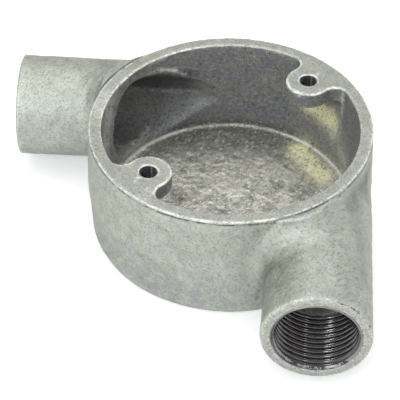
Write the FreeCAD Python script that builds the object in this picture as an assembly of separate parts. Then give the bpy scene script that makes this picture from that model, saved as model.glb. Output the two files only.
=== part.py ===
"""Galvanised conduit box: a round bowl with two tangential threaded spouts.

One malleable-iron casting. The bowl stands on its flat base with its axis on Z
and its foot on z = 0. One spout leaves towards -Y and one towards -X, both
tangential to the bowl, so the box turns a 20 mm conduit run through a right
angle. The box is its own mirror image about the plane x = y. Two lugs on the
diagonal carry the tapped holes of the cover screws.
"""
import FreeCAD, Part
import math
import os
from FreeCAD import Vector

# Bowl, mm
rim_radius = 33.8
belt_bulge = 0.6            # how far the wall stands out past the rim at the parting plane
foot_inset = 0.9            # how far the wall comes in again from the belt to the foot
foot_round = 1.2
rim_width = 3.1             # machined face that the cover beds on
cavity_draft_deg = 1.0
floor_thickness = 3.8
floor_corner_round = 0.8

# Spouts, mm
spout_length = 19.2         # end face out from the belt
spout_taper = 0.35          # radius lost from the end face back to the bowl's centre plane
spout_end_wall = 2.5        # metal outside the thread at the end face
under_spout = 2.0           # clear of the base under a spout's end
over_spout = 2.5            # from the top of a spout's end up to the rim
flank_inset = 0.2           # how far a flank dies inside the wall that it is tangent to
root_fillet_top = 8.0       # spout into bowl wall over the spout, run out at the rim
root_fillet_side = 4.0      # the same beside the spout
root_fillet_foot = 0.9      # the same under the spout
end_round = 0.5

# Entries for M20 x 1.5 conduit, mm
thread_major_radius = 10.0
thread_pitch = 1.5
thread_length = 16.0
thread_mouth_chamfer = 0.8
passage_step = 0.29         # cast way behind the thread, inside its core diameter
shoulder_deg = 59.0         # slope left by the tapping drill, from its axis
mouth_flare = 6.8           # radius of the trumpet that opens the passage into the cavity
mouth_flare_floor = 2.4     # the same just above the floor
mouth_edge_deg = 30.0       # turn that the trumpet stops short of, which leaves a crisp edge

# Cover lugs, tapped M4, mm
hole_inset = 5.3            # hole's centre in from the cavity's edge at the rim
lug_radius = 5.5
lug_thickness = 4.5
lug_fillet = 3.0
lug_bevel = 0.5             # round the lug's lower edge
tapping_radius = 1.65
tapping_chamfer = 0.4

# How rounds and fillet bands are drawn, mm and degrees
round_chords = 4            # chords in the section of a round: within 0.05 mm of the arc
band_sink = 0.05            # depth of a band's edges under the walls that it joins
band_root = 2.5             # depth of its back edge behind the corner
band_end_radius = 0.2
band_open_deg = 22.0        # left open on each side of the tangent flank
band_fade_deg = 45.0
band_step_deg = 12.0

# Worked out from the sizes above
belt_radius = rim_radius + belt_bulge
foot_radius = belt_radius - foot_inset
thread_minor_radius = thread_major_radius - 0.54 * thread_pitch
passage_radius = thread_minor_radius - passage_step
spout_end_radius = thread_major_radius + spout_end_wall
spout_root_radius = spout_end_radius - spout_taper     # at the bowl's centre plane
spout_height = under_spout + spout_end_radius     # axes of both spouts: the parting plane
bowl_height = spout_height + spout_end_radius + over_spout
spout_offset = belt_radius - spout_root_radius - flank_inset
spout_reach = belt_radius + spout_length
cavity_rim_radius = rim_radius - rim_width
hole_radius = cavity_rim_radius - hole_inset
cavity_slope = math.tan(math.radians(cavity_draft_deg))
cavity_mid_radius = cavity_rim_radius - (bowl_height - spout_height) * cavity_slope
passage_root_radius = cavity_mid_radius - spout_offset - flank_inset
passage_reach = spout_reach - thread_length
overrun = 2.0               # how far a cutting form stands past the face that it opens

ORIGIN = Vector(0, 0, 0)
UP = Vector(0, 0, 1)
OUT = Vector(0, -1, 0)      # the way the conduit leaves the front spout


def wall_radius(height):
    """Radius of the bowl's outer wall at a height: drafted both ways from the belt."""
    if height > spout_height:
        return belt_radius - (height - spout_height) * belt_bulge / (bowl_height - spout_height)
    return belt_radius - (spout_height - height) * (belt_radius - foot_radius) / spout_height


def cavity_radius(height):
    """Radius of the cavity at a height."""
    return cavity_rim_radius - (bowl_height - height) * cavity_slope


def spout_radius(distance):
    """Outer radius of a spout at a distance out from the bowl's centre plane."""
    taper = (spout_end_radius - spout_root_radius) / spout_reach
    return spout_root_radius + taper * distance


def way_radius(distance):
    """Radius of the cast passage at a distance out from the bowl's centre plane."""
    taper = (passage_radius - passage_root_radius) / passage_reach
    return passage_root_radius + taper * distance


def on_axis(distance):
    """Point on the front spout's axis, a distance out from the bowl's centre plane."""
    return Vector(spout_offset, -distance, spout_height)


def both_ways(shape):
    """The shape and its mirror image about the plane x = y."""
    return [shape, shape.mirror(ORIGIN, Vector(1, -1, 0))]


def arc_points(centre, start, end):
    """Points that divide the arc from start to end about a centre into equal chords."""
    first = start - centre
    last = end - centre
    sweep = first.getAngle(last)
    points = []
    for i in range(round_chords + 1):
        turn = sweep * i / round_chords
        along = first * math.sin(sweep - turn) + last * math.sin(turn)
        points.append(centre + along * (1 / math.sin(sweep)))
    return points


def rounded(before, corner, after, radius):
    """Points of the round that replaces a corner between two straight sides."""
    back = (before - corner).normalize()
    onward = (after - corner).normalize()
    half = back.getAngle(onward) / 2
    centre = corner + (back + onward).normalize() * (radius / math.sin(half))
    tangent = radius / math.tan(half)
    return arc_points(centre, corner + back * tangent, corner + onward * tangent)


def turned(points, centre, axis):
    """Solid turned from a closed outline about an axis."""
    outline = Part.makePolygon(points + points[:1])
    return Part.Face(outline).revolve(centre, axis, 360)


def stand(angle, off_bar, off_wall, round_radius, bar_radius):
    """Point beside the front spout that stands off its bar and the round wall by two gaps.

    The angle is about the spout's axis, from the tangent flank.
    """
    distance = round_radius(spout_height)
    for _ in range(6):
        reach = bar_radius(distance) + off_bar
        height = spout_height + reach * math.sin(angle)
        x = spout_offset + reach * math.cos(angle)
        distance = math.sqrt((round_radius(height) + off_wall) ** 2 - x ** 2)
    return Vector(x, -distance, height)


def band_section(angle, radius, edge_deg, round_radius, bar_radius):
    """Cross-section of a fillet band: its concave arc, and a root behind the corner.

    A ball of the fillet's radius rolls in the corner between the round wall and the
    bar. Its centre stands off the bar by that radius, less the sink, and the section
    lies in the plane of the centre and the nearest points of both. With an edge angle
    the ball dips into the round wall, and the arc stops short of it by that turn.
    """
    edge = math.radians(edge_deg)
    off_wall = radius * math.cos(edge) - band_sink
    centre = stand(angle, radius - band_sink, off_wall, round_radius, bar_radius)
    corner = stand(angle, 0, 0, round_radius, bar_radius)
    to_bar = Vector(-math.cos(angle), 0, -math.sin(angle))
    to_wall = Vector(-centre.x, -centre.y, 0).normalize()
    root = corner + (corner - centre).normalize() * band_root
    normal = to_bar.cross(to_wall).normalize()
    root = root - normal * normal.dot(root - centre)
    inward = (to_bar - to_wall * to_bar.dot(to_wall)).normalize()
    last = to_wall * math.cos(edge) + inward * math.sin(edge)
    arc = arc_points(centre, centre + to_bar * radius, centre + last * radius)
    return Part.makePolygon(arc + [root] + arc[:1])


def fillet_band(top, side, foot, edge_deg, round_radius, bar_radius):
    """Fillet between a round wall and the front spout's bar, as a solid band.

    It runs round the bar from one side of the tangent flank to the other, blends
    between its radii over, beside and under the bar, and sinks into the walls at
    both ends.
    """
    span = 360 - 2 * band_open_deg
    count = round(span / band_step_deg)
    sections = []
    for i in range(count + 1):
        past_end = span * i / count
        from_end = min(past_end, span - past_end)
        fade = math.sin(math.radians(90 * min(1, from_end / band_fade_deg)))
        angle = math.radians(band_open_deg + past_end)
        far = top if math.sin(angle) > 0 else foot
        full = far + (side - far) * math.cos(angle) ** 2
        radius = band_end_radius + (full - band_end_radius) * fade
        sections.append(band_section(angle, radius, edge_deg, round_radius, bar_radius))
    return Part.makeLoft(sections, True, False)


def bowl_outside():
    """Bowl drafted both ways from its belt at the parting plane, with a rounded foot."""
    foot = Vector(foot_radius, 0, 0)
    belt = Vector(belt_radius, 0, spout_height)
    rim = Vector(rim_radius, 0, bowl_height)
    outline = [ORIGIN] + rounded(ORIGIN, foot, belt, foot_round)
    outline += [belt, rim, Vector(0, 0, bowl_height)]
    return turned(outline, ORIGIN, UP)


def spout_outside():
    """Tapered front spout with a rounded end."""
    side = Vector(1, 0, 0)
    root = on_axis(0) + side * spout_root_radius
    end = on_axis(spout_reach)
    corner = end + side * spout_end_radius
    outline = [on_axis(0), root] + rounded(root, corner, end, end_round) + [end]
    return turned(outline, on_axis(0), OUT)


def outside():
    """Outer form of the casting: bowl, spouts and the fillets, level with the rim."""
    band = fillet_band(root_fillet_top, root_fillet_side, root_fillet_foot, 0,
                       wall_radius, spout_radius)
    over = Part.makeCylinder(2 * belt_radius, 2 * bowl_height, UP * bowl_height)
    band = band.cut(over)
    return bowl_outside().fuse(both_ways(spout_outside()) + both_ways(band))


def cavity():
    """Drafted room inside the bowl, with a rounded floor corner, open past the rim."""
    low = Vector(0, 0, floor_thickness)
    high = Vector(0, 0, bowl_height + overrun)
    corner = Vector(cavity_radius(low.z), 0, low.z)
    edge = Vector(cavity_radius(high.z), 0, high.z)
    outline = [low] + rounded(low, corner, edge, floor_corner_round) + [edge, high]
    return turned(outline, ORIGIN, UP)


def lug():
    """Ear on the diagonal: a rounded nose about the screw hole, flared into the wall.

    In plan the nose's straight sides run out into two arcs that lie against the
    cavity's wall. It is drawn along +X and then turned on to the diagonal.
    """
    base = bowl_height - lug_thickness
    side = lug_radius + lug_fillet
    arc_x = math.sqrt((cavity_rim_radius - lug_fillet + 2 * band_sink) ** 2 - side ** 2)
    ends = math.atan2(side, arc_x), -math.pi / 2
    back = rim_radius - rim_width / 2

    def flare(turn, sign):
        """Point on one flared side, at an angle about the centre of its arc."""
        return Vector(arc_x + lug_fillet * math.cos(turn),
                      sign * (side + lug_fillet * math.sin(turn)), base)

    def arc(sign):
        """One flared side, from the wall to the nose."""
        return Part.Arc(flare(ends[0], sign), flare(sum(ends) / 2, sign), flare(ends[1], sign))

    left = Vector(hole_radius, lug_radius, base)
    right = Vector(hole_radius, -lug_radius, base)
    nose = Part.Arc(left, Vector(hole_radius - lug_radius, 0, base), right)
    behind = [Vector(back, flare(ends[0], sign).y, base) for sign in (1, -1)]
    edges = [nose.toShape(), arc(1).toShape(), arc(-1).toShape(),
             Part.makeLine(left, flare(ends[1], 1)), Part.makeLine(right, flare(ends[1], -1)),
             Part.makeLine(flare(ends[0], 1), behind[0]), Part.makeLine(*behind),
             Part.makeLine(flare(ends[0], -1), behind[1])]
    outline = Part.Wire(Part.__sortEdges__(edges))
    ear = Part.Face(outline).extrude(UP * (lug_thickness + 2 * overrun))
    lower = [e for e in ear.Edges if e.BoundBox.ZMax < base + 1e-4
             and e.BoundBox.XMax < arc_x + lug_fillet]
    ear = ear.makeChamfer(lug_bevel, lower)
    ear.rotate(ORIGIN, UP, 45)
    return ear


def core():
    """Everything that is hollow as cast: the cavity less its lugs, and both passages."""
    way = Part.makeCone(passage_root_radius, passage_radius, passage_reach, on_axis(0), OUT)
    mouth = fillet_band(mouth_flare, mouth_flare, mouth_flare_floor, mouth_edge_deg,
                        cavity_radius, way_radius)
    ear = lug()
    opposite = ear.copy()
    opposite.rotate(ORIGIN, UP, 180)
    return cavity().cut([ear, opposite]).fuse(both_ways(way) + both_ways(mouth))


def entry_tool():
    """Tapped entry of the front spout at its core diameter, with shoulder and mouth."""
    drilled = Part.makeCylinder(thread_minor_radius, thread_length + overrun,
                                on_axis(passage_reach), OUT)
    tip_length = thread_minor_radius / math.tan(math.radians(shoulder_deg))
    tip = Part.makeCone(thread_minor_radius, 0, tip_length, on_axis(passage_reach), -OUT)
    flare = thread_mouth_chamfer + overrun
    mouth = Part.makeCone(thread_minor_radius + flare, thread_minor_radius, flare,
                          on_axis(spout_reach + overrun), -OUT)
    return drilled.fuse([tip, mouth])


def screw_tool(turn_deg):
    """Tapping hole of one lug with its chamfered mouth, turned to its place."""
    foot = Vector(hole_radius, 0, bowl_height - lug_thickness - overrun)
    hole = Part.makeCylinder(tapping_radius, lug_thickness + 2 * overrun, foot)
    flare = tapping_chamfer + overrun
    mouth = Part.makeCone(tapping_radius, tapping_radius + flare, flare,
                          Vector(hole_radius, 0, bowl_height - tapping_chamfer))
    tool = hole.fuse(mouth)
    tool.rotate(ORIGIN, UP, turn_deg)
    return tool


def box_casting():
    """The finished casting: outer form, less the core, the entries and the screw holes."""
    tools = both_ways(entry_tool()) + [screw_tool(45), screw_tool(225)]
    return outside().cut([core()] + tools).removeSplitter()


os.makedirs("parts", exist_ok=True)
casting = box_casting()
print("solids", len(casting.Solids), "valid", casting.isValid(), "cm3", round(casting.Volume / 1000, 2))
casting.Solids[0].exportStep("parts/box_casting.step")
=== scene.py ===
"""Dressed model of a galvanised conduit box: a round bowl with two tangential threaded spouts.

The casting, the screw threads in its entries and cover lugs, and its hot-dip zinc finish are built
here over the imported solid. Sizes are in mm and meshes in metres, in the solid's own frame: the
bowl's axis is Z, the foot stands on z = 0, one spout leaves towards -Y and its mirror image about
x = y towards -X.
"""
import logging
import math
from dataclasses import dataclass
from enum import Enum
from typing import Optional, Sequence, Union

import bpy
import numpy as np
from mathutils import Matrix, Vector


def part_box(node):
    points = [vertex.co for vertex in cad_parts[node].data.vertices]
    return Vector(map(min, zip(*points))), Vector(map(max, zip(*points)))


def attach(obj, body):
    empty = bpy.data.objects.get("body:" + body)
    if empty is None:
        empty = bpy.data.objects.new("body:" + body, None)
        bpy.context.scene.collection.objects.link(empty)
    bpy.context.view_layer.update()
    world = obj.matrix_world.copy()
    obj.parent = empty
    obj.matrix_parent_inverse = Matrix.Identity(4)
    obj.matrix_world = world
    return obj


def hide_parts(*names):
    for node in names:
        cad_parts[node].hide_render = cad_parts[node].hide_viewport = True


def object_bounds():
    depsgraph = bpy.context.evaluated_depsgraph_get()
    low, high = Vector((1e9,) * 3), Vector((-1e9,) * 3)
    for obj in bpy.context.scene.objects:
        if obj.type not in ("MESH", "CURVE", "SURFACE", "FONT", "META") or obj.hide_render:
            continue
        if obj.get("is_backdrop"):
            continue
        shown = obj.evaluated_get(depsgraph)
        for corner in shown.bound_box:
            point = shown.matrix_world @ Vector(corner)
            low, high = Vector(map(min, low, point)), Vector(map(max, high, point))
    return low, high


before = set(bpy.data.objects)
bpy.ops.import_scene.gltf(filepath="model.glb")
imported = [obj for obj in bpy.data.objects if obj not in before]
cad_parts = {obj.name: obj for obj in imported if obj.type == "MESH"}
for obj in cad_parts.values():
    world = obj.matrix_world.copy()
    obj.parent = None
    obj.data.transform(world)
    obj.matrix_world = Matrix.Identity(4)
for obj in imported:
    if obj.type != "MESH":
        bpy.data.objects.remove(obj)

LOG = logging.getLogger("conduit_box")
NODE = "box_casting"
BODY = "root"
MM = 0.001
Number = Union[int, float]
Surfaced = Union[bpy.types.Material, bpy.types.World]
Colour = tuple[float, float, float, float]
WHITE = (1.0, 1.0, 1.0, 1.0)


class Hole(Enum):
    """The casting's threaded holes, each with the name of the piece that threads it."""

    FRONT_ENTRY = "thread_front"
    LEFT_ENTRY = "thread_left"
    RIGHT_SCREW = "screw_thread_1"
    LEFT_SCREW = "screw_thread_2"

    @property
    def entry(self) -> bool:
        """Whether a conduit goes in, and not a cover screw."""
        return self in (Hole.FRONT_ENTRY, Hole.LEFT_ENTRY)


class Zone(Enum):
    """Parts of the casting's skin that the zinc treats differently."""

    CAVITY = "cavity"   # inside of the bowl, below the rim
    WAY = "way"         # passages from the entries into the bowl, darkened with painted shade
    CUT = "cut"         # machined faces
    BEAD = "bead"       # outward bends, which carry a painted highlight
    NOOK = "nook"       # inward bends, darkened with painted shade
    CORNER_HIGHLIGHT = "pool"       # painted highlight on the zinc gathered round the bowl's floor
    STAIN_AND_GLOW = "stain"     # yellow stains in the bowl, partly painted reflected light
    BURR = "burr"       # ragged dark edges of the spouts' ends
    SEAM = "seam"       # raised core lines and other strokes, with painted highlights
    SMUT = "smut"       # pits and dark marks


LIP = "lip"             # a thread sleeve's chamfer, which keeps its zinc


# ---------------------------------------------------------------- sizes


@dataclass(frozen=True)
class Sizes:
    """Leading sizes of the casting in mm, the same as the solid's."""

    rim_radius: float = 33.8
    rim_width: float = 3.1
    height: float = 29.5
    floor_top: float = 3.8
    spout_offset: float = 22.05
    spout_height: float = 14.5
    spout_reach: float = 53.6
    spout_end_radius: float = 12.5
    core_radius: float = 9.19
    major_radius: float = 10.0
    pitch: float = 1.5
    thread_length: float = 16.0
    hole_radius: float = 25.4
    lug_thickness: float = 4.5
    screw_core: float = 1.65
    screw_major: float = 2.0
    screw_pitch: float = 0.7

    def seats(self) -> dict[Hole, tuple[tuple[Number, ...], tuple[int, ...]]]:
        """Each hole's mouth in mm, and the way out of it."""
        hole = self.hole_radius * math.sqrt(0.5)
        return {Hole.FRONT_ENTRY: ((self.spout_offset, -self.spout_reach, self.spout_height), (0, -1, 0)),
                Hole.LEFT_ENTRY: ((-self.spout_reach, self.spout_offset, self.spout_height), (-1, 0, 0)),
                Hole.RIGHT_SCREW: ((hole, hole, self.height), (0, 0, 1)),
                Hole.LEFT_SCREW: ((-hole, -hole, self.height), (0, 0, 1))}


SIZES = Sizes()


@dataclass(frozen=True)
class Mark:
    """A straight soft stroke on the casting.

    Attributes:
        first: One end, mm.
        last: The other end, mm.
        width: Half width, mm.
        depth: Strength on its middle line.
    """

    first: tuple[float, float, float]
    last: tuple[float, float, float]
    width: float
    depth: float

    def over(self, points: np.ndarray) -> np.ndarray:
        """Strength of the stroke at points in space, falling off like a bell.

        The distance d to the segment is taken from the nearest point of it, whose place along the
        segment is the projection clipped to 0 and 1, and the strength is depth exp(-(d / width)^2).

        Args:
            points: Places in mm, shape (n, 3).

        Returns:
            The strength at each point.
        """
        start = np.array(self.first)
        run = np.array(self.last) - start
        along = np.clip((points - start) @ run / (run @ run), 0.0, 1.0)
        nearest = start + along[:, None] * run
        return np.exp(-np.sum((points - nearest) ** 2, axis=1) / self.width ** 2) * self.depth


# Raised strokes with painted highlights: a core line, used in both passages, and a ridge under the right
# lug.
CORE_SEAM_HIGHLIGHT = Mark((-29.0, 30.4, 13.9), (-10.5, 30.4, 14.1), 0.6, 0.35)
RIDGE_HIGHLIGHT = Mark((26.5, 15.1, 28.4), (26.4, 15.2, 21.5), 0.6, 0.7)
SEAM_HIGHLIGHTS = (
    CORE_SEAM_HIGHLIGHT,
    # Painted highlight along the upper edge of the left mouth, in three runs
    Mark((-20.8, 22.4, 26.6), (-18.9, 24.1, 25.9), 0.4, 0.6),
    Mark((-18.9, 24.1, 25.9), (-15.3, 26.5, 23.9), 0.5, 0.9),
    Mark((-15.3, 26.5, 23.9), (-12.8, 27.8, 22.0), 0.45, 0.7),
    # Painted highlights at its lower end, on the wall beside it and on the wall under the right lug
    Mark((-25.6, 18.6, 5.9), (-22.2, 24.6, 6.2), 0.6, 0.4),
    Mark((-30.0, 7.0, 26.5), (-30.6, -1.0, 12.0), 4.6, 0.6),
    Mark((24.5, 18.3, 13.0), (28.6, 10.6, 8.0), 3.2, 0.4),
)
SMUTS = (
    # A pit over the left mouth and a dark spot on the floor
    Mark((-12.2, 28.0, 22.4), (-12.4, 27.8, 21.9), 0.6, 1.0),
    Mark((-13.6, 3.4, 3.8), (-12.0, 0.6, 3.8), 1.9, 0.8),
    # Brown patches on the right of the bowl and of the front spout
    Mark((29.0, -20.0, 25.2), (31.0, -12.0, 24.0), 3.2, 0.5),
    Mark((31.6, -8.0, 25.0), (33.4, -12.0, 20.0), 2.4, 0.4),
    Mark((30.8, -25.0, 23.4), (32.2, -42.0, 21.5), 2.2, 0.3),
    # A scratch at the bowl's foot, the front spout's flank and the left spout's root
    Mark((8.6, -33.0, 8.0), (8.0, -32.9, 4.5), 0.45, 0.7),
    Mark((9.3, -36.0, 20.0), (9.6, -46.0, 14.0), 2.0, 0.4),
    Mark((-31.0, 20.0, 24.5), (-33.0, 26.0, 26.0), 2.4, 0.3),
)
STAIN_AND_GLOW_MARKS = (
    # Yellow stain, partly painted reflected light: under the right lug, and on the floor before it
    Mark((18.8, 24.1, 17.5), (24.0, 18.9, 17.0), 3.6, 1.0),
    Mark((16.5, 21.5, 4.0), (22.6, 12.5, 4.0), 2.8, 1.0),
)
RIPPLES = ((0.075, 11.0, 3), (0.05, 4.6, 5), (0.022, 2.0, 8))   # height and wavelength in mm, and seed


# ---------------------------------------------------------------- mesh helpers


def new_piece(name: str, points: np.ndarray, faces: np.ndarray) -> bpy.types.Object:
    """Makes a mesh object from arrays, with smooth faces that point outwards.

    The signed volume is a sixth of the sum over triangles of first . (second x third); where it
    comes out negative the corners' order is turned round.

    Args:
        name: Name of the piece.
        points: Vertices in mm, shape (n, 3).
        faces: Corner indices of quads or triangles, shape (m, 4) or (m, 3).

    Returns:
        The new object, linked to the scene.
    """
    first, second, third = (points[faces[:, k]] for k in range(3))
    volume = np.sum(first * np.cross(second, third))
    if faces.shape[1] == 4:
        volume += np.sum(first * np.cross(third, points[faces[:, 3]]))
    if volume < 0:
        faces = faces[:, ::-1]
    mesh = bpy.data.meshes.new(name)
    corners = faces.shape[1]
    mesh.vertices.add(len(points))
    mesh.vertices.foreach_set("co", (points * MM).astype(np.float32).ravel())
    mesh.loops.add(faces.size)
    mesh.loops.foreach_set("vertex_index", np.ascontiguousarray(faces, dtype=np.int32).ravel())
    mesh.polygons.add(len(faces))
    mesh.polygons.foreach_set("loop_start", np.arange(0, faces.size, corners, dtype=np.int32))
    mesh.update(calc_edges=True)
    mesh.polygons.foreach_set("use_smooth", np.ones(len(faces), dtype=bool))
    mesh.validate()
    piece = bpy.data.objects.new(name, mesh)
    bpy.context.scene.collection.objects.link(piece)
    return piece


def torus_faces(rows: int, columns: int) -> np.ndarray:
    """Quads of a grid that closes on itself both ways.

    Args:
        rows: Number of points along the first direction.
        columns: Number of points along the second direction.

    Returns:
        Corner indices, shape (rows * columns, 4).
    """
    i, j = np.meshgrid(np.arange(rows), np.arange(columns), indexing="ij")
    down, across = (i + 1) % rows, (j + 1) % columns
    corners = [i * columns + j, down * columns + j, down * columns + across, i * columns + across]
    return np.stack(corners, axis=-1).reshape(-1, 4)


def coordinates(mesh: bpy.types.Mesh) -> np.ndarray:
    """Vertices of a mesh in mm, shape (n, 3)."""
    points = np.empty(len(mesh.vertices) * 3, dtype=np.float32)
    mesh.vertices.foreach_get("co", points)
    return points.reshape(-1, 3).astype(float) / MM


def set_coordinates(mesh: bpy.types.Mesh, points: np.ndarray) -> None:
    """Puts vertices in mm back into a mesh."""
    mesh.vertices.foreach_set("co", (points * MM).astype(np.float32).ravel())
    mesh.update()


def normals(mesh: bpy.types.Mesh) -> np.ndarray:
    """Vertex normals of a mesh, shape (n, 3)."""
    values = np.empty(len(mesh.vertices) * 3, dtype=np.float32)
    mesh.vertex_normals.foreach_get("vector", values)
    return values.reshape(-1, 3).astype(float)


def set_attribute(piece: bpy.types.Object, name: str, values: np.ndarray) -> None:
    """Stores one number for each vertex of a piece."""
    layer = piece.data.attributes.new(name, "FLOAT", "POINT")
    layer.data.foreach_set("value", values.astype(np.float32))


def modified(piece: bpy.types.Object, kind: str, **settings: object) -> None:
    """Puts a modifier on a piece and bakes it into its mesh.

    Args:
        piece: The piece.
        kind: Blender's type name of the modifier.
        **settings: Its properties.
    """
    modifier = piece.modifiers.new(kind.lower(), kind)
    for key, value in settings.items():
        setattr(modifier, key, value)
    bpy.context.view_layer.update()
    evaluated = piece.evaluated_get(bpy.context.evaluated_depsgraph_get())
    mesh = bpy.data.meshes.new_from_object(evaluated)
    piece.modifiers.clear()
    old = piece.data
    piece.data = mesh
    mesh.name = piece.name
    bpy.data.meshes.remove(old)


def step(value: np.ndarray, low: float, high: float) -> np.ndarray:
    """Smooth ramp from 0 at low to 1 at high, the cubic 3t^2 - 2t^3."""
    t = np.clip((value - low) / (high - low), 0.0, 1.0)
    return t * t * (3.0 - 2.0 * t)


def ripple(points: np.ndarray, wavelength: float, seed: int, waves: int = 40) -> np.ndarray:
    """Smooth random relief at points in space, about -1 to 1.

    The sum of many plane sine waves with random directions and phases, whose wavelengths spread
    by a third about the one asked for, divided by the root of half their number and by two.

    Args:
        points: Places in mm, shape (n, 3).
        wavelength: Mean wavelength in mm.
        seed: Seed of the random directions.
        waves: Number of sine waves.

    Returns:
        Relief at each point, shape (n,).
    """
    rng = np.random.default_rng(seed)
    heading = rng.normal(size=(waves, 3))
    heading /= np.linalg.norm(heading, axis=1, keepdims=True)
    rate = 2 * math.pi / (wavelength * rng.uniform(0.72, 1.4, size=(waves, 1)))
    phase = rng.uniform(0, 2 * math.pi, size=waves)
    total = np.zeros(len(points))
    for vector, start in zip(heading * rate, phase):
        total += np.sin(points @ vector + start)
    return total / math.sqrt(waves / 2) / 2


def bend(mesh: bpy.types.Mesh, points: np.ndarray, outward: np.ndarray) -> np.ndarray:
    """How far each vertex stands out along its normal from the mean of its neighbours, mm.

    The result is averaged over the neighbours twice, so that it doesn't flicker.

    Args:
        mesh: The mesh, for its edges.
        points: Its vertices in mm.
        outward: Its vertex normals.

    Returns:
        The offset of each vertex, positive on outward bends.
    """
    pairs = np.empty(len(mesh.edges) * 2, dtype=np.int32)
    mesh.edges.foreach_get("vertices", pairs)
    first, second = pairs.reshape(-1, 2).T
    count = np.bincount(first, minlength=len(points)) + np.bincount(second, minlength=len(points))

    def mean(values: np.ndarray) -> np.ndarray:
        """Mean of a value over each vertex's neighbours."""
        forth = np.bincount(first, values[second], len(points))
        back = np.bincount(second, values[first], len(points))
        return (forth + back) / np.maximum(count, 1)

    middle = np.stack([mean(column) for column in points.T], axis=1)
    offset = np.sum((points - middle) * outward, axis=1)
    for _ in range(2):
        offset = (offset + mean(offset)) / 2
    return offset


def turned_to(points: np.ndarray, outward: Sequence[Number]) -> np.ndarray:
    """Points about +Z, turned so that +Z points along a direction."""
    turn = np.array(Vector((0, 0, 1)).rotation_difference(Vector(outward)).to_matrix())
    return points @ turn.T


def along_front(points: np.ndarray) -> np.ndarray:
    """Points with x and y exchanged, so that the left spout reads as the front one."""
    return points[:, [1, 0, 2]]


# ---------------------------------------------------------------- shader helpers


class Tree:
    """The node tree of a material or world, with one method that adds any node."""

    def __init__(self, owner: Surfaced) -> None:
        """Empties the node tree of a material or world."""
        owner.use_nodes = True
        self.owner = owner
        self.nodes = owner.node_tree.nodes
        self.links = owner.node_tree.links
        self.nodes.clear()

    def node(self, kind: str, settings: Optional[dict] = None, output: Union[int, str] = 0,
             **inputs: object) -> "Sock":
        """Adds a node.

        Args:
            kind: Blender's type name of the node, without "ShaderNode".
            settings: Properties set before the sockets, such as a Math node's operation.
            output: The output socket that is returned.
            **inputs: Values or sockets by socket name, with _ for a space, or by "i" and its number.

        Returns:
            The wrapped output socket.
        """
        node = self.nodes.new("ShaderNode" + kind)
        for key, value in (settings or {}).items():
            setattr(node, key, value)
        for key, value in inputs.items():
            numbered = key[0] == "i" and key[1:].isdigit()
            target = node.inputs[int(key[1:]) if numbered else key.replace("_", " ")]
            if isinstance(value, Sock):
                self.links.new(value.socket, target)
            else:
                target.default_value = value
        return Sock(self, node.outputs[output])

    def place(self) -> "Sock":
        """Object coordinates, in metres."""
        return self.node("TexCoord", output="Object")

    def mix(self, factor: "Sock", first: object, second: object) -> "Sock":
        """Mixes two colours by a factor."""
        return self.node("Mix", {"data_type": "RGBA"}, output=2, i0=factor, i6=first, i7=second)

    def scaled(self, vector: "Sock", x: Number, y: Number, z: Number) -> "Sock":
        """A vector times constants."""
        return self.node("VectorMath", {"operation": "MULTIPLY"}, i0=vector, i1=(x, y, z))

    def turned(self, vector: "Sock", degrees: Sequence[Number]) -> "Sock":
        """A vector turned about X, Y and Z."""
        return self.node("Mapping", Vector=vector, Rotation=[math.radians(d) for d in degrees])

    def parts(self, vector: "Sock") -> tuple["Sock", "Sock", "Sock"]:
        """A place's three coordinates, in mm."""
        return tuple(self.node("SeparateXYZ", output=axis, Vector=vector) * (1 / MM) for axis in "XYZ")

    def band(self, value: "Sock", middle: Number, width: Number) -> "Sock":
        """1 at the middle, falling smoothly to 0 a width away on both sides."""
        return 1.0 - self.ramp((value - middle).size(), 0.0, width)

    def ramp(self, value: "Sock", low: Number, high: Number) -> "Sock":
        """Smooth ramp from 0 at low to 1 at high."""
        settings = {"interpolation_type": "SMOOTHSTEP"}
        return self.node("MapRange", settings, Value=value, From_Min=low, From_Max=high)

    def noise(self, where: "Sock", size: Number, detail: Number = 3.0, rough: Number = 0.55,
              warp: Number = 0.0) -> "Sock":
        """Fractal noise whose features are about size mm across."""
        return self.node("TexNoise", Vector=where, Scale=1.0 / (size * MM), Detail=detail,
                         Roughness=rough, Distortion=warp)

    def attribute(self, name: str) -> "Sock":
        """A number at the surface, from the piece's own attribute."""
        return self.node("Attribute", {"attribute_name": name}, output="Fac")

    def finish(self, shader: "Sock") -> Surfaced:
        """Links the surface shader and returns the material or world."""
        kind = "World" if isinstance(self.owner, bpy.types.World) else "Material"
        output = self.nodes.new("ShaderNodeOutput" + kind)
        self.links.new(shader.socket, output.inputs["Surface"])
        return self.owner


class Sock:
    """A node's output, with Python operators that add Math nodes."""

    def __init__(self, tree: Tree, socket: bpy.types.NodeSocket) -> None:
        """Wraps a socket of a tree."""
        self.tree = tree
        self.socket = socket

    def _math(self, operation: str, first: object, second: object = 0.0) -> "Sock":
        """Adds a Math node."""
        return self.tree.node("Math", {"operation": operation}, i0=first, i1=second)

    def __add__(self, other: object) -> "Sock":
        """Sum."""
        return self._math("ADD", self, other)

    __radd__ = __add__

    def __sub__(self, other: object) -> "Sock":
        """Difference."""
        return self._math("SUBTRACT", self, other)

    def __rsub__(self, other: object) -> "Sock":
        """Difference, the other way round."""
        return self._math("SUBTRACT", other, self)

    def __mul__(self, other: object) -> "Sock":
        """Product."""
        return self._math("MULTIPLY", self, other)

    __rmul__ = __mul__

    def above(self, other: object) -> "Sock":
        """The greater of the two."""
        return self._math("MAXIMUM", self, other)

    def below(self, other: object) -> "Sock":
        """The lesser of the two."""
        return self._math("MINIMUM", self, other)

    def root(self) -> "Sock":
        """Square root."""
        return self._math("SQRT", self)

    def size(self) -> "Sock":
        """Absolute value."""
        return self._math("ABSOLUTE", self)


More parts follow.
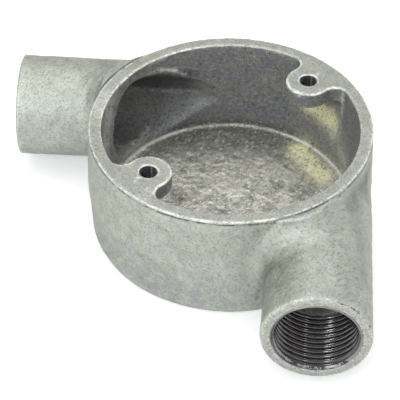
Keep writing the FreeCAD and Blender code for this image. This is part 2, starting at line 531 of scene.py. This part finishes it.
def shade(red: Number, green: Number, blue: Number) -> Colour:
    """A display colour of 0 to 255 as linear light, by the sRGB curve."""
    def linear(value: Number) -> float:
        """One channel."""
        part = value / 255
        return part / 12.92 if part <= 0.04045 else ((part + 0.055) / 1.055) ** 2.4

    return linear(red), linear(green), linear(blue), 1.0


# ---------------------------------------------------------------- finishes


@dataclass(frozen=True)
class ZincFinish:
    """Hot-dip zinc on rough malleable iron: mottled, finely streaked, half matt.

    The colours are what bare metal of each kind returns, save the highlight, which is painted light,
    the warmer floor colour and the yellow, which are partly painted light, the floor's shade colour,
    which is painted shade, and the dark colours for dirt and burrs, which also paint shade and shadow.
    The edge colour is its reflection at a grazing angle, the two roughnesses are its glossiest and its
    most matt, and the relief is the height of its grain in mm.
    """

    name: str = "hot_dip_zinc"
    pale: Colour = shade(185, 190, 178)
    mid: Colour = shade(160, 164, 153)
    grit_and_shade: Colour = shade(119, 118, 111)
    lilac: Colour = shade(150, 149, 161)
    brown: Colour = shade(149, 143, 129)
    warm_lit: Colour = shade(219, 215, 202)
    floor_shade: Colour = shade(110, 108, 104)
    yellow: Colour = shade(255, 251, 200)
    violet: Colour = shade(142, 143, 156)
    umber: Colour = shade(156, 156, 146)
    soot_and_shade: Colour = shade(86, 85, 90)
    bright: Colour = shade(228, 230, 222)
    burr: Colour = shade(50, 52, 62)
    edge: Colour = (0.62, 0.64, 0.6, 1.0)
    metallic: float = 0.88
    rough_low: float = 0.32
    rough_high: float = 0.6
    relief: float = 0.42

    def outside(self, t: Tree, place: Sock, streak: Sock, grain: Sock, cut: Sock) -> Sock:
        """Colour of the zinc on open faces.

        Three sizes of mottling choose among pale, mid, lilac and brown zinc, and stretched noise
        lays slanting streaks and grit over them.

        Args:
            t: The material's tree.
            place: Object coordinates.
            streak: Slanting stretched noise.
            grain: Fine noise.
            cut: 1 on machined faces, which carry less grit.

        Returns:
            The colour.
        """
        blotch = t.noise(place, 9.0, 4.0, 0.6, 0.6)
        patch = t.noise(place, 3.0, 5.0, 0.66, 0.4)
        mottle = blotch * 0.3 + patch * 0.3 + streak * 0.4 + grain * 0.3
        colour = t.mix(t.ramp(mottle, 0.5, 0.8), self.mid, self.pale)
        low = t.ramp(t.parts(place)[2], 20.0, 5.0)
        bloom = t.ramp(t.noise(place, 2.0, 5.0, 0.75, 0.8) + 0.06 * low, 0.48, 0.62)
        colour = t.mix(bloom * (0.4 + 0.2 * low), colour, self.lilac)
        colour = t.mix(t.ramp(t.noise(place, 2.8, 6.0, 0.75, 1.2), 0.52, 0.68) * 0.6, colour, self.brown)
        dirt = t.ramp(grain * 0.25 + streak * 0.75, 0.48, 0.35)
        return t.mix(dirt * (0.75 - 0.5 * cut), colour, self.grit_and_shade)

    def inside(self, t: Tree, place: Sock, upright: Sock, speck: Sock, stain: Sock) -> Sock:
        """Colour of the zinc in the bowl: violet and umber walls, a warmer floor painted lighter as if lit,
        coarse specks.

        Painted shade greys the floor towards the back, and painted glints dot the front of it.

        Args:
            t: The material's tree.
            place: Object coordinates.
            upright: 1 on the walls and 0 on the floor.
            speck: Short stretched noise.
            stain: Strength of the yellow stain, which is partly painted reflected light.

        Returns:
            The colour.
        """
        y = t.parts(place)[1]
        mottle = t.noise(place, 1.7, 5.0, 0.75, 0.9)
        walls = t.mix(t.ramp(mottle, 0.4, 0.6), self.violet, self.umber)
        # The floor is painted lighter than the walls, as if lit, and painted shade greys its back.
        ground = t.mix(t.ramp(t.noise(place, 4.0, 5.0, 0.75, 0.8), 0.38, 0.58), self.mid, self.warm_lit)
        ground = t.mix(t.ramp(y, 11.0, 25.0) * (1.0 - stain) * 0.85, ground, self.floor_shade)
        colour = t.mix(upright * (1.0 - stain * 0.8), ground, walls)
        colour = t.mix(t.ramp(speck, 0.46, 0.34) * (0.5 + 0.1 * upright), colour, self.soot_and_shade)
        # Bright specks are painted glints, fewer on the walls than on the floor.
        colour = t.mix(t.ramp(speck, 0.55, 0.66) * (0.7 - 0.35 * upright), colour, self.bright)
        # Painted glints on the front of the floor.
        floor_glint = t.ramp(t.noise(place, 1.3, 1.0, 0.5), 0.65, 0.69) * (1.0 - 0.7 * upright)
        return t.mix(floor_glint * t.ramp(y, 18.0, 6.0), colour, self.bright)

    def lines(self, t: Tree, place: Sock, bead: Sock, colour: Sock) -> Sock:
        """Paints highlights and shadow on the edges of the rim and the lugs.

        A broken painted highlight runs on the rim's arris over a thin painted shadow in the crease under it.
        On the left the rim's inner edge has a painted highlight too, and so have the lugs' upper edges.

        Args:
            t: The material's tree.
            place: Object coordinates.
            bead: Strength of outward bends.
            colour: The colour so far.

        Returns:
            The colour with the edges.
        """
        x, y, z = t.parts(place)
        radius = (x * x + y * y).root()
        broken = t.ramp(t.noise(place, 6.0, 4.0, 0.8), 0.4, 0.54)
        beads = t.ramp(t.noise(place, 1.2, 2.0, 0.7), 0.43, 0.54)
        # Painted shadow in the crease and on the ledge under the rim's lip.
        crease = t.band(z, 28.75, 0.42) * t.ramp(radius, 33.2, 33.4) * t.ramp(radius, 34.5, 34.2)
        ledge = t.band(radius, 34.1, 0.34) * t.ramp(z, 28.5, 28.9)
        colour = t.mix(crease.above(ledge) * (0.15 + 0.75 * broken), colour, self.burr)
        # Painted highlights on the rim's outer arris, and on its inner edge on the left only.
        outer = t.band(radius, 33.52, 0.3) * t.ramp(z, 28.9, 29.2)
        left = t.ramp(x, 0.0, -14.0) * t.ramp(y, -9.0, -5.0)
        inner = t.band(radius, 30.85, 0.3) * t.ramp(z, 28.9, 29.2) * left
        colour = t.mix(outer.above(inner) * beads * (0.6 + 0.4 * broken), colour, self.bright)
        # Painted highlight on the lugs' upper edges.
        lug = t.ramp(radius, 30.7, 30.2) * t.ramp(z, 27.8, 28.4)
        return t.mix(t.ramp(bead, 0.55, 0.9) * lug * (0.25 + 0.6 * beads), colour, self.bright)

    def material(self) -> bpy.types.Material:
        """Builds the material.

        The open faces' and the bowl's own colours are mixed by zone. Painted shade darkens the passages
        and the inward bends, and scratches and painted shade the machined faces; a yellow staining that is
        partly painted reflected light, smut and burrs come over them; painted highlights lie on the raised
        strokes, the floor's corner, the outward bends and the edges; and the same patterns vary the gloss
        and a light relief.

        Returns:
            The material.
        """
        t = Tree(bpy.data.materials.new(self.name))
        place = t.place()
        cavity, way, cut, bead, nook, pool, stain, burr, seam, smut = map(
            t.attribute, (zone.value for zone in Zone))
        lean = t.turned(place, (18, -24, 32))
        streak = t.noise(t.scaled(lean, 1.0, 0.2, 1.0), 0.5, 4.0, 0.7)
        speck = t.noise(t.scaled(lean, 1.0, 0.4, 1.0), 0.62, 3.0, 0.75)
        grain = t.noise(place, 0.42, 3.0, 0.7)
        patch = t.noise(place, 3.0, 5.0, 0.66, 0.4)
        height = t.parts(place)[2]
        upright = t.ramp(height, 4.4, 7.0)
        outside = self.outside(t, place, streak, grain, cut)
        colour = t.mix(cavity, outside, self.inside(t, place, upright, speck, stain))
        # Painted shade in the passages, darkest in their upper half.
        passage_shade = 0.5 + 0.35 * t.ramp(height, 13.0, 16.0) + 0.4 * t.ramp(speck, 0.5, 0.36)
        colour = t.mix(way * passage_shade, colour, self.soot_and_shade)
        # Dark scratches on the machined faces, over an even darkening that is painted shade.
        scratch = t.noise(t.scaled(t.turned(place, (0, 0, -38)), 1.0, 0.12, 1.0), 0.36, 3.0, 0.7)
        colour = t.mix(cut * (0.3 + 0.35 * t.ramp(scratch, 0.48, 0.36)), colour, self.grit_and_shade)
        # Yellow stain, brightened in part as painted reflected light.
        flaked = t.ramp(patch * 0.2 + speck * 0.4 + streak * 0.4, 0.43, 0.51)
        colour = t.mix(stain * flaked, colour, self.yellow)
        # Painted shade in the inward bends.
        colour = t.mix(nook * 0.25, colour, self.grit_and_shade)
        colour = t.mix(smut * t.ramp(streak * 0.6 + patch * 0.4, 0.4, 0.52), colour, self.soot_and_shade)
        # Painted highlight on the outward bends.
        colour = t.mix(bead * t.ramp(grain, 0.4, 0.6) * 0.5, colour, self.bright)
        # Painted highlights on the floor's corner and on the raised strokes.
        highlight_breakup = speck * 0.5 + patch * 0.5
        raised = (pool * t.ramp(highlight_breakup, 0.36, 0.46)).above(seam * t.ramp(highlight_breakup, 0.4, 0.54))
        colour = self.lines(t, place, bead, t.mix(raised, colour, self.bright))
        ragged = burr + (grain - 0.5) * 0.9 + (patch - 0.5) * 0.8
        colour = t.mix(t.ramp(ragged, 0.42, 0.52), colour, self.burr)
        matt = t.ramp(patch * 0.5 + streak * 0.35 + grain * 0.35, 0.45, 0.78)
        rough = self.rough_low + (self.rough_high - self.rough_low) * matt
        rough = (rough + 0.2 * way - 0.1 * cavity * (1.0 - upright) - 0.1 * pool).below(0.85)
        relief = patch * 0.34 + (streak + (speck - streak) * cavity) * 0.36 + grain * 0.26
        relief = relief * (1.0 - 0.5 * cut + 0.3 * cavity)
        bump = t.node("Bump", Strength=0.85, Distance=self.relief * MM, Height=relief)
        metal = self.metallic - 0.3 * way - 0.25 * cavity - 0.6 * stain.below(cavity)
        metal = (metal - 0.4 * pool.above(seam)).above(0.1)
        return t.finish(t.node("BsdfPrincipled", Base_Color=colour, Metallic=metal, Roughness=rough,
                               Specular_Tint=self.edge, Normal=bump))


@dataclass(frozen=True)
class CutFinish:
    """Oiled cut thread: dark iron with a thin shine."""

    name: str = "cut_thread"
    dark: Colour = shade(92, 89, 87)
    sheen: Colour = shade(103, 104, 112)
    lip: Colour = shade(143, 145, 141)
    blue: Colour = shade(62, 64, 80)
    metallic: float = 0.8
    rough: float = 0.11

    def material(self) -> bpy.types.Material:
        """Builds the material: noise varies colour and gloss, and the chamfer keeps matt zinc.

        Returns:
            The material.
        """
        t = Tree(bpy.data.materials.new(self.name))
        place = t.place()
        patch = t.noise(place, 1.6, 3.0, 0.6)
        fine = t.noise(place, 0.3, 2.0, 0.6)
        colour = t.mix(t.ramp(patch, 0.45, 0.7), self.dark, self.sheen)
        ragged = t.attribute(LIP) + (patch - 0.5) * 1.2 + (fine - 0.5) * 0.8
        colour = t.mix(t.ramp(ragged, 0.2, 0.4), colour, self.blue)
        coated = t.ramp(ragged, 0.5, 0.62)
        colour = t.mix(coated, colour, self.lip)
        rough = self.rough + 0.06 * fine + 0.3 * coated
        return t.finish(t.node("BsdfPrincipled", Base_Color=colour, Metallic=self.metallic, Roughness=rough))


# ---------------------------------------------------------------- pieces


@dataclass
class ThreadSleeve:
    """A screw thread cut into a bore: a closed sleeve whose inner face is the thread.

    Attributes:
        name: Name of the piece.
        core: Radius of the thread's crests, mm.
        major: Radius of its roots, mm.
        pitch: Distance between turns, mm.
        length: Length of the sleeve, mm.
        flare: How far the mouth's chamfer opens past the core radius, mm.
        shell: Metal behind the roots, hidden in the wall, mm.
        around: Points round one turn.
        per_pitch: Points along one pitch.
    """

    name: str
    core: float
    major: float
    pitch: float
    length: float
    flare: float
    shell: float = 0.2
    around: int = 128
    per_pitch: int = 12

    def surface(self) -> tuple[np.ndarray, np.ndarray, np.ndarray]:
        """The sleeve about +Z with its mouth at z = 0 and its inner end at z = -length.

        The profile round the wall runs down the thread from the mouth and back up a plain outer
        face. On the thread the radius is the core radius plus the thread's depth times a
        flat-topped wave of the phase z / pitch - angle / turn. The wave is the cubic
        3 t^2 - 2 t^3 of the triangle t = 1.3 (1 - |2 phase - 1|) - 0.15, cut off at 0 and 1, so
        that crests and roots are rounded.
        The chamfer is the cone of the core radius plus the flare at the mouth, and the surface
        keeps whichever of the two is wider.

        Returns:
            Points in mm, quads, and how much of each point lies on the chamfer.
        """
        steps = int(self.length / self.pitch * self.per_pitch)
        angle = np.linspace(0, 2 * math.pi, self.around, endpoint=False)[:, None]
        depth = np.linspace(0, -self.length, steps)[None, :]
        phase = (depth / self.pitch - angle / (2 * math.pi)) % 1.0
        wave = step(1.3 * (1.0 - np.abs(2.0 * phase - 1.0)) - 0.15, 0.0, 1.0)
        inner = self.core + (self.major - self.core) * wave
        cone = self.core + self.flare + depth
        lip = np.concatenate([step(cone - inner, -0.1, 0.35), np.ones((self.around, 2))], axis=1)
        inner = np.maximum(inner, cone)
        outer = np.full((self.around, 2), self.major + self.shell)
        radius = np.concatenate([inner, outer], axis=1)
        behind = np.tile([[-self.length, 0.0]], (self.around, 1))
        height = np.concatenate([np.repeat(depth, self.around, axis=0), behind], axis=1)
        points = np.stack([radius * np.cos(angle), radius * np.sin(angle), height], axis=-1)
        return points.reshape(-1, 3), torus_faces(*radius.shape), lip.ravel()

    def build(self, mouth: Sequence[Number], outward: Sequence[Number]) -> bpy.types.Object:
        """Makes the sleeve with its mouth at a point; low on the chamfer the zinc is thinner.

        Args:
            mouth: Centre of the mouth, mm.
            outward: Direction out of the bore.

        Returns:
            The sleeve's object.
        """
        points, faces, lip = self.surface()
        piece = new_piece(self.name, turned_to(points, outward) + np.array(mouth, dtype=float), faces)
        low = step(mouth[2] - coordinates(piece.data)[:, 2], 3.0, 8.0)
        set_attribute(piece, LIP, lip * (1.0 - 0.45 * low))
        return piece


@dataclass
class Casting:
    """The box's casting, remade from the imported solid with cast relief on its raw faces.

    Attributes:
        name: Name of the piece.
        sizes: Leading sizes.
        cell: Size of a remesh cell, mm.
        triangles: Most triangles in the finished mesh.
        seat: Clearance of the pockets that hold the thread sleeves, mm.
        past: How far the pockets' cutters stand out past the mouths, mm.
        under: Metal left under a screw's pocket, mm.
    """

    name: str = "casting"
    sizes: Sizes = SIZES
    cell: float = 0.42
    triangles: int = 190000
    seat: float = 0.1
    past: float = 2.0
    under: float = 0.4

    def seam_highlights(self, points: np.ndarray) -> np.ndarray:
        """Strength of the raised strokes that the cores leave in both passages and of the others, all with
        painted highlights.

        Args:
            points: Vertices in mm.

        Returns:
            Strengths from 0 to 1.
        """
        left = sum(mark.over(points) for mark in SEAM_HIGHLIGHTS)
        return np.clip(left + CORE_SEAM_HIGHLIGHT.over(along_front(points)) + RIDGE_HIGHLIGHT.over(points), 0.0, 1.0)

    def pocket_plug(self, radius: float, length: float) -> tuple[np.ndarray, np.ndarray]:
        """Closed round plug about +Z from z = 0 down to z = -length.

        The profile of radius over height is 0, radius, radius, 0 at 0, 0, -length, -length,
        turned about the axis; its poles are small rings of a tenth of a micron.

        Args:
            radius: Radius, mm.
            length: Length, mm.

        Returns:
            Points in mm and quads.
        """
        around, pole = 96, 1e-4
        angle = np.linspace(0, 2 * math.pi, around, endpoint=False)[:, None]
        reach = np.array([[pole, radius, radius, pole]])
        height = np.array([[0.0, 0.0, -length, -length]])
        points = np.stack([reach * np.cos(angle), reach * np.sin(angle), height + 0 * angle], axis=-1)
        return points.reshape(-1, 3), torus_faces(*points.shape[:2])

    def pockets(self) -> bpy.types.Object:
        """All pockets for the thread sleeves as one cutting object, open past their mouths.

        Returns:
            The cutting object.
        """
        s = self.sizes
        entry = self.pocket_plug(s.major_radius + self.seat, s.thread_length + self.past)
        screw = self.pocket_plug(s.screw_major + self.seat, s.lug_thickness - self.under + self.past)
        points, faces, count = [], [], 0
        for hole, (mouth, outward) in s.seats().items():
            shape, quads = entry if hole.entry else screw
            points.append(turned_to(shape, outward) + np.array(mouth) + np.array(outward) * self.past)
            faces.append(quads + count)
            count += len(shape)
        return new_piece("pockets", np.concatenate(points), np.concatenate(faces))

    def spout(self, points: np.ndarray, outward: np.ndarray) -> tuple[np.ndarray, np.ndarray, np.ndarray]:
        """Zones of the front spout; for the left one the coordinates come with x and y exchanged.

        The passage is a tube about the spout's axis. The burrs lie on the end face where it meets
        the entry, low down, and on its outer arris, high up on the right.

        Args:
            points: Vertices in mm.
            outward: Vertex normals.

        Returns:
            Strengths of the passage, the end face and the burrs.
        """
        s = self.sizes
        x, y, z = points.T
        aside, up = x - s.spout_offset, z - s.spout_height
        reach = np.hypot(aside, up)
        tube = (1 - step(reach, 10.2, 11.0)) * step(-y, 6.0, 14.0)
        end = step(-y, s.spout_reach - 0.5, s.spout_reach - 0.2) * step(-outward[:, 1], 0.6, 0.9)
        low = step(0.25 * aside - up, 3.0, 9.0)
        lower = end * low * (1 - step(reach, s.major_radius, s.major_radius + 0.4))
        arris = 1 - step(np.abs(reach - s.spout_end_radius + 0.1), 0.1, 0.4)
        arris = arris * step(-y, s.spout_reach - 0.9, s.spout_reach - 0.4)
        upper = arris * step(aside, 2.0, 5.0) * step(up, 2.0, 5.0)
        return tube * (1 - end), end, np.maximum(0.9 * lower, 0.48 * upper)

    def zones(self, points: np.ndarray, outward: np.ndarray, proud: np.ndarray) -> dict[Zone, np.ndarray]:
        """Strength of every zone at each vertex.

        Each zone is a product of smooth ramps in the distance from the bowl's axis, the distance
        from a spout's axis, the height and the slope. Beads and nooks are where the skin bends
        outwards and inwards most.

        Args:
            points: Vertices in mm.
            outward: Vertex normals.
            proud: How far each vertex stands out from its neighbours, mm.

        Returns:
            Strengths from 0 to 1 by zone.
        """
        s = self.sizes
        x, y, z = points.T
        radius = np.hypot(x, y)
        inner = s.rim_radius - s.rim_width
        top = step(z, s.height - 0.35, s.height - 0.1) * step(outward[:, 2], 0.6, 0.9)
        cavity = (1 - step(radius, inner + 0.1, inner + 0.5)) * (1 - top)
        cavity = cavity * step(z, s.floor_top - 0.9, s.floor_top - 0.4)
        front = self.spout(points, outward)
        left = self.spout(along_front(points), along_front(outward))
        way, ends, burr = (np.maximum(*pair) for pair in zip(front, left))
        # Painted highlight round the floor's corner, strongest to the sides.
        aside = step(np.abs(np.arctan2(x, y)), 0.32, 0.6)
        corner = (radius - inner + 0.6) ** 2 + (z - s.floor_top - 0.3) ** 2
        pool = np.exp(-corner / 0.16) * (0.25 + 0.75 * aside)
        # Yellow stain, partly painted reflected light.
        stain = np.clip(1.2 * sum(mark.over(points) for mark in STAIN_AND_GLOW_MARKS), 0, 1) * cavity
        smut = np.clip(sum(mark.over(points) for mark in SMUTS), 0, 1)
        return {Zone.CAVITY: cavity, Zone.WAY: way, Zone.CUT: np.maximum(top, ends),
                Zone.BEAD: np.clip(proud / 0.03, 0, 1),
                Zone.NOOK: np.clip(-proud / 0.04, 0, 1) * (1 - pool),
                Zone.CORNER_HIGHLIGHT: pool, Zone.STAIN_AND_GLOW: stain, Zone.BURR: burr,
                Zone.SEAM: self.seam_highlights(points), Zone.SMUT: smut}

    def relief(self, points: np.ndarray) -> np.ndarray:
        """Displacement of each point along its normal, mm.

        As-cast faces swell and sink by three sizes of ripple about a level 0.03 mm under the
        solid's, the bowl's inside is lumpy, the raised strokes that carry painted highlights stand proud and
        a crease runs under the rim.
        Machined faces, which are the rim, the lugs' tops, the spouts' ends and the base, stay flat.

        Args:
            points: Vertices in mm.

        Returns:
            Displacement along the normal.
        """
        s = self.sizes
        x, y, z = points.T
        radius = np.hypot(x, y)
        inner = s.rim_radius - s.rim_width
        top = step(z, s.height - 0.75, s.height - 0.25)
        ends = sum(step(-reach, s.spout_reach - 0.8, s.spout_reach - 0.3) for reach in (y, x))
        base = 1.0 - step(z, 0.2, 0.7)
        raw = np.clip(1.0 - top - ends - base, 0.0, 1.0)
        bowl = (1 - step(radius, inner, inner + 0.5)) * (1 - top)
        ground = bowl * (1 - step(z, s.floor_top + 0.3, s.floor_top + 1.2)) * (1 - base)
        waves = sum(height * ripple(points, wavelength, seed) for height, wavelength, seed in RIPPLES)
        lumps = (0.024 * bowl + 0.05 * ground) * ripple(points, 1.7, 12)
        lumps = lumps + 0.03 * ground * ripple(points, 1.1, 14)
        crease = np.exp(-((radius - 34.05) / 0.3) ** 2) * step(z, 28.0, 28.6)
        return raw * (waves - 0.03) + lumps - 0.1 * crease + 0.1 * self.seam_highlights(points)

    def skin(self) -> bpy.types.Object:
        """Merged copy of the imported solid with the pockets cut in, remeshed into even cells."""
        piece = bpy.data.objects.new(self.name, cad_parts[NODE].data.copy())
        bpy.context.scene.collection.objects.link(piece)
        piece.data.materials.clear()
        modified(piece, "WELD", merge_threshold=1e-6)
        cutter = self.pockets()
        modified(piece, "BOOLEAN", operation="DIFFERENCE", solver="EXACT", object=cutter)
        bpy.data.objects.remove(cutter)
        modified(piece, "REMESH", mode="VOXEL", voxel_size=self.cell * MM, use_smooth_shade=True)
        modified(piece, "SMOOTH", factor=0.5, iterations=2)
        return piece

    def build(self) -> bpy.types.Object:
        """Makes the casting, with its relief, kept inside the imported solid's box.

        Returns:
            The casting's object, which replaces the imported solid.
        """
        piece = self.skin()
        count = sum(len(polygon.vertices) - 2 for polygon in piece.data.polygons)
        LOG.info("casting remeshed to %d triangles", count)
        low, high = (np.array(corner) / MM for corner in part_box(NODE))
        points, outward = coordinates(piece.data), normals(piece.data)
        points = points + outward * self.relief(points)[:, None]
        set_coordinates(piece.data, np.clip(points, low, high))
        if count > self.triangles:
            modified(piece, "DECIMATE", ratio=self.triangles / count)
            set_coordinates(piece.data, np.clip(coordinates(piece.data), low, high))
        piece.data.polygons.foreach_set("use_smooth", np.ones(len(piece.data.polygons), dtype=bool))
        points, outward = coordinates(piece.data), normals(piece.data)
        proud = bend(piece.data, points, outward)
        for zone, strength in self.zones(points, outward, proud).items():
            set_attribute(piece, zone.value, strength)
        return piece


@dataclass
class ConduitBox:
    """The whole box: the casting and the threads in its entries and lugs.

    Attributes:
        sizes: Leading sizes.
        sink: How far the threads' mouths stand under the casting's faces, mm.
        short: How much shorter a screw thread is than its lug is thick, mm.
    """

    sizes: Sizes = SIZES
    sink: float = 0.04
    short: float = 0.5

    def dress(self, piece: bpy.types.Object, material: bpy.types.Material) -> None:
        """Gives a piece its material and body."""
        piece.data.materials.clear()
        piece.data.materials.append(material)
        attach(piece, BODY)
        LOG.info("%s: %d faces", piece.name, len(piece.data.polygons))

    def sleeve(self, hole: Hole) -> ThreadSleeve:
        """The thread that belongs in a hole."""
        s = self.sizes
        if hole.entry:
            return ThreadSleeve(hole.value, s.core_radius, s.major_radius, s.pitch, s.thread_length,
                                flare=0.8)
        return ThreadSleeve(hole.value, s.screw_core, s.screw_major, s.screw_pitch,
                            s.lug_thickness - self.short, flare=0.45, around=48, per_pitch=8)

    def build(self) -> None:
        """Builds and dresses every piece."""
        zinc, cut = ZincFinish().material(), CutFinish().material()
        # The screw holes' threads get a darker copy of the cut thread, as painted shade in the small holes.
        oiled_and_shaded = CutFinish("oiled_screw_thread_shaded", shade(52, 49, 48), shade(62, 60, 62)).material()
        casting = Casting(sizes=self.sizes).build()
        self.dress(casting, zinc)
        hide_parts(NODE)
        for hole, (mouth, outward) in self.sizes.seats().items():
            seat = np.array(mouth) - self.sink * np.array(outward)
            self.dress(self.sleeve(hole).build(seat, outward), cut if hole.entry else oiled_and_shaded)


# ---------------------------------------------------------------- setting


@dataclass
class Studio:
    """Plain pale floor, even soft light and the camera.

    Attributes:
        azimuth: Turn of the sight line from the front towards the right, degrees.
        elevation: Its height above the horizon, degrees.
        roll: Turn of the camera about it, degrees.
        distance: Distance from the target, mm.
        lens: Focal length, mm.
        target: Point that the camera looks at, mm.
        world: Strength of the surroundings as soft light.
        floor_side: Side of the floor, mm.
        floor_glow: Light added to the floor where it shows.
    """

    azimuth: float = 3.725
    elevation: float = 42.75
    roll: float = 0.264
    distance: float = 436.27
    lens: float = 161.15
    target: tuple[float, float, float] = (-6.99, -3.43, 8.01)
    world: float = 0.76
    floor_side: float = 3000.0
    floor_glow: float = 0.34

    def camera(self) -> None:
        """Sets the camera on its sight line, turned a little about it."""
        az, el, roll = (math.radians(a) for a in (self.azimuth, self.elevation, self.roll))
        back = Vector((math.sin(az) * math.cos(el), -math.cos(az) * math.cos(el), math.sin(el)))
        right = Vector((math.cos(az), math.sin(az), 0.0))
        up = back.cross(right)
        side = right * math.cos(roll) + up * math.sin(roll)
        over = up * math.cos(roll) - right * math.sin(roll)
        turn = Matrix((side, over, back)).transposed().to_4x4()
        data = bpy.data.cameras.new("camera")
        data.lens = self.lens
        data.sensor_width = 36.0
        data.clip_start, data.clip_end = 0.01, 20.0
        seat = (Vector(self.target) + back * self.distance) * MM
        camera = bpy.data.objects.new("camera", data)
        camera.matrix_world = Matrix.Translation(seat) @ turn
        bpy.context.scene.collection.objects.link(camera)
        bpy.context.scene.camera = camera

    def lamp(self, name: str, place: Sequence[Number], width: Number, height: Number, power: Number,
             colour: Sequence[Number] = (1.0, 1.0, 1.0)) -> None:
        """Hangs an oblong soft lamp that faces the box.

        Args:
            name: Name of the lamp.
            place: Its centre, m.
            width: Its width, m.
            height: Its height, m.
            power: Its power, W.
            colour: Its colour.
        """
        data = bpy.data.lights.new(name, "AREA")
        data.shape, data.size, data.size_y = "RECTANGLE", width, height
        data.energy, data.color = power, colour
        lamp = bpy.data.objects.new(name, data)
        aim = Vector(place) - Vector((0, 0, 0.01))
        turn = aim.to_track_quat("Z", "Y").to_matrix().to_4x4()
        lamp.matrix_world = Matrix.Translation(Vector(place)) @ turn
        bpy.context.scene.collection.objects.link(lamp)

    def shown(self, t: Tree) -> Sock:
        """1 to the camera, to reflections and through glass, and 0 to soft light."""
        camera, glossy, through = (t.node("LightPath", output=f"Is {way} Ray")
                                   for way in ("Camera", "Glossy", "Transmission"))
        return camera.above(glossy).above(through)

    def sky(self) -> None:
        """Even pale surroundings that show as pure white."""
        t = Tree(bpy.data.worlds.new("surroundings"))
        lit, seen = (t.node("Background", Color=WHITE, Strength=strength) for strength in (self.world, 1.0))
        bpy.context.scene.world = t.finish(t.node("MixShader", i0=self.shown(t), i1=lit, i2=seen))

    def floor(self) -> None:
        """Pale floor under the box that shows a little lighter than it is lit."""
        across = np.array([[-1, -1, 0], [1, -1, 0], [1, 1, 0], [-1, 1, 0]]) * self.floor_side / 2
        floor = new_piece("floor", across, np.array([[0, 1, 2, 3]]))
        t = Tree(bpy.data.materials.new("pale_floor"))
        plain = t.node("BsdfDiffuse", Color=(0.86, 0.86, 0.86, 1.0))
        both = t.node("AddShader", i0=plain, i1=t.node("Emission", Color=WHITE, Strength=self.floor_glow))
        floor.data.materials.append(t.finish(t.node("MixShader", i0=self.shown(t), i1=plain, i2=both)))
        floor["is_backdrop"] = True

    def build(self) -> None:
        """Sets camera, lamps, surroundings and floor."""
        self.camera()
        self.sky()
        self.floor()
        self.lamp("overhead", (0.05, 0.1, 0.8), 0.5, 0.5, 1.6)
        self.lamp("front", (-0.35, -0.55, 0.5), 0.07, 0.36, 1.8, (0.9, 0.95, 1.0))
        self.lamp("low", (0.26, -0.56, 0.56), 0.04, 0.12, 0.25, (0.9, 0.95, 1.0))
        self.lamp("side", (-0.35, -0.2, 0.7), 0.2, 0.2, 0.35, (1.0, 0.98, 0.92))
        bpy.context.scene.view_settings.view_transform = "Standard"


def corners() -> list[list[float]]:
    """The shown object's box as plain lists."""
    return [[float(value) for value in corner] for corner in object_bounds()]


def main() -> None:
    """Builds the studio and the box."""
    logging.basicConfig(level=logging.INFO, format="%(name)s: %(message)s")
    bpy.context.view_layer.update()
    Studio().build()
    ConduitBox().build()


if __name__ == "__main__":
    main()
